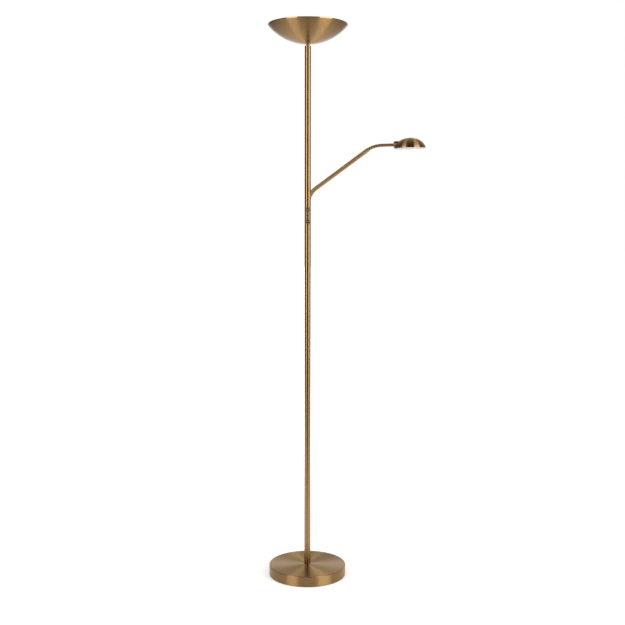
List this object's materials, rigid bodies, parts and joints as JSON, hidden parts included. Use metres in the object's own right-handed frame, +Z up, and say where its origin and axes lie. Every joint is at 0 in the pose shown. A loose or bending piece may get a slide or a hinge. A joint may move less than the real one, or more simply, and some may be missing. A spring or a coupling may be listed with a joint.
{
  "type": "torchiere floor lamp with reading light",
  "caption": "Tall uplighter floor lamp with a shallow metal bowl, a weighted round base and a small domed reading light on a bending gooseneck arm.",
  "frame": {"origin": "centre of the base's underside, on the floor", "axes": "+Z up along the pole, +X along the reading arm, -Y the front, where the two dimmer knobs are"},
  "size_m": [0.506, 0.2556, 1.8],
  "materials": {
    "brass": "antique brass plating, satin, brushed round each turned form",
    "knob_brass": "antique brass plating, ridged grip",
    "neck_bronze": "dull bronze, ribbed",
    "cast_weight": "rough grey casting",
    "dark_sheet": "black paint, matt",
    "zinc": "zinc plated",
    "shaft_metal": "turned",
    "pad": "soft sheet, matt",
    "bush_rubber": "moulded, matt",
    "driver_case": "white housing",
    "terminal_plastic": "translucent white",
    "dimmer_case": "black housing",
    "wire_sleeve": "insulation",
    "circuit_board": "green board",
    "light_board": "white board with light packages",
    "heat_sink": "cast, plain",
    "white_sheet": "white paint",
    "opal": "opal, satin",
    "white_trim": "white moulding"
  },
  "bodies": {
    "lamp": {"base_shell": "brass", "base_weight": "cast_weight", "bottom_plate": "dark_sheet", "plate_screws": "zinc", "floor_pad": "pad", "base_nipple": "zinc", "base_nut": "zinc", "inlet_bush": "bush_rubber", "led_driver": "driver_case", "terminal_block": "terminal_plastic", "mains_link_wire": "wire_sleeve", "pole_lower": "brass", "pole_middle": "brass", "pole_upper": "brass", "pole_foot_insert": "zinc", "pole_coupling": "zinc", "pole_top_insert": "zinc", "control_housing": "brass", "dimmer_board": "circuit_board", "dimmers": "dimmer_case", "dimmer_collars": "knob_brass", "dimmer_nuts": "zinc", "arm_socket": "zinc", "arm_tube": "brass", "arm_ferrule": "brass", "uplight_nipple": "zinc", "neck_spacer": "brass", "uplight_bowl": "brass", "bowl_nut": "zinc", "uplight_heat_sink": "heat_sink", "uplight_led_board": "light_board", "uplight_reflector": "white_sheet", "uplight_screws": "zinc", "uplight_diffuser": "opal", "uplight_diffuser_ring": "white_trim", "supply_wire": "wire_sleeve", "uplight_wire": "wire_sleeve", "reading_wire": "wire_sleeve"},
    "link_1": {"neck_link_1": "neck_bronze"},
    "link_2": {"neck_link_2": "neck_bronze"},
    "link_3": {"neck_link_3": "neck_bronze"},
    "link_4": {"neck_link_4": "neck_bronze"},
    "link_5": {"neck_link_5": "neck_bronze"},
    "link_6": {"neck_link_6": "neck_bronze"},
    "link_7": {"neck_link_7": "neck_bronze"},
    "link_8": {"neck_link_8": "neck_bronze"},
    "link_9": {"neck_link_9": "neck_bronze"},
    "reading_head": {"head_neck": "brass", "head_shade": "brass", "head_heat_sink": "heat_sink", "head_led_board": "light_board", "head_screws": "zinc", "head_ring": "white_trim", "head_diffuser": "opal", "head_wire": "wire_sleeve"},
    "reading_knob": {"reading_knob": "knob_brass", "reading_knob_shaft": "shaft_metal"},
    "uplight_knob": {"uplight_knob": "knob_brass", "uplight_knob_shaft": "shaft_metal"}
  },
  "joints": [
    {"name": "uplight_dimmer", "type": "hinge", "parent": "lamp", "child": "uplight_knob", "pos_m": [0, -0.012, 1.2135], "axis": [0, 1, 0], "range_deg": [0, 270]},
    {"name": "reading_dimmer", "type": "hinge", "parent": "lamp", "child": "reading_knob", "pos_m": [0, -0.012, 1.1755], "axis": [0, 1, 0], "range_deg": [0, 270]},
    {"name": "neck_swing_1", "type": "hinge", "parent": "lamp", "child": "link_1", "pos_m": [0.19706, 0, 1.40843], "axis": [-0.4656, 0, 0.885], "range_deg": [-15, 15]},
    {"name": "neck_bend_1", "type": "hinge", "parent": "link_1", "child": "link_2", "pos_m": [0.20506, 0, 1.41264], "axis": [0, -1, 0], "range_deg": [-10, 15]},
    {"name": "neck_swing_2", "type": "hinge", "parent": "link_2", "child": "link_3", "pos_m": [0.21355, 0, 1.41578], "axis": [-0.2419, 0, 0.9703], "range_deg": [-15, 15]},
    {"name": "neck_bend_2", "type": "hinge", "parent": "link_3", "child": "link_4", "pos_m": [0.22234, 0, 1.41796], "axis": [0, -1, 0], "range_deg": [-10, 15]},
    {"name": "neck_swing_3", "type": "hinge", "parent": "link_4", "child": "link_5", "pos_m": [0.23127, 0, 1.41938], "axis": [-0.0915, 0, 0.9958], "range_deg": [-15, 15]},
    {"name": "neck_bend_3", "type": "hinge", "parent": "link_5", "child": "link_6", "pos_m": [0.24029, 0, 1.42021], "axis": [0, -1, 0], "range_deg": [-10, 15]},
    {"name": "neck_swing_4", "type": "hinge", "parent": "link_6", "child": "link_7", "pos_m": [0.24933, 0, 1.42064], "axis": [-0.0262, 0, 0.9997], "range_deg": [-15, 15]},
    {"name": "neck_bend_4", "type": "hinge", "parent": "link_7", "child": "link_8", "pos_m": [0.25837, 0, 1.42088], "axis": [0, -1, 0], "range_deg": [-10, 15]},
    {"name": "neck_swing_5", "type": "hinge", "parent": "link_8", "child": "link_9", "pos_m": [0.26742, 0, 1.42112], "axis": [-0.0262, 0, 0.9997], "range_deg": [-15, 15]},
    {"name": "neck_bend_5", "type": "hinge", "parent": "link_9", "child": "reading_head", "pos_m": [0.27647, 0, 1.42135], "axis": [0, -1, 0], "range_deg": [-10, 15]}
  ]
}
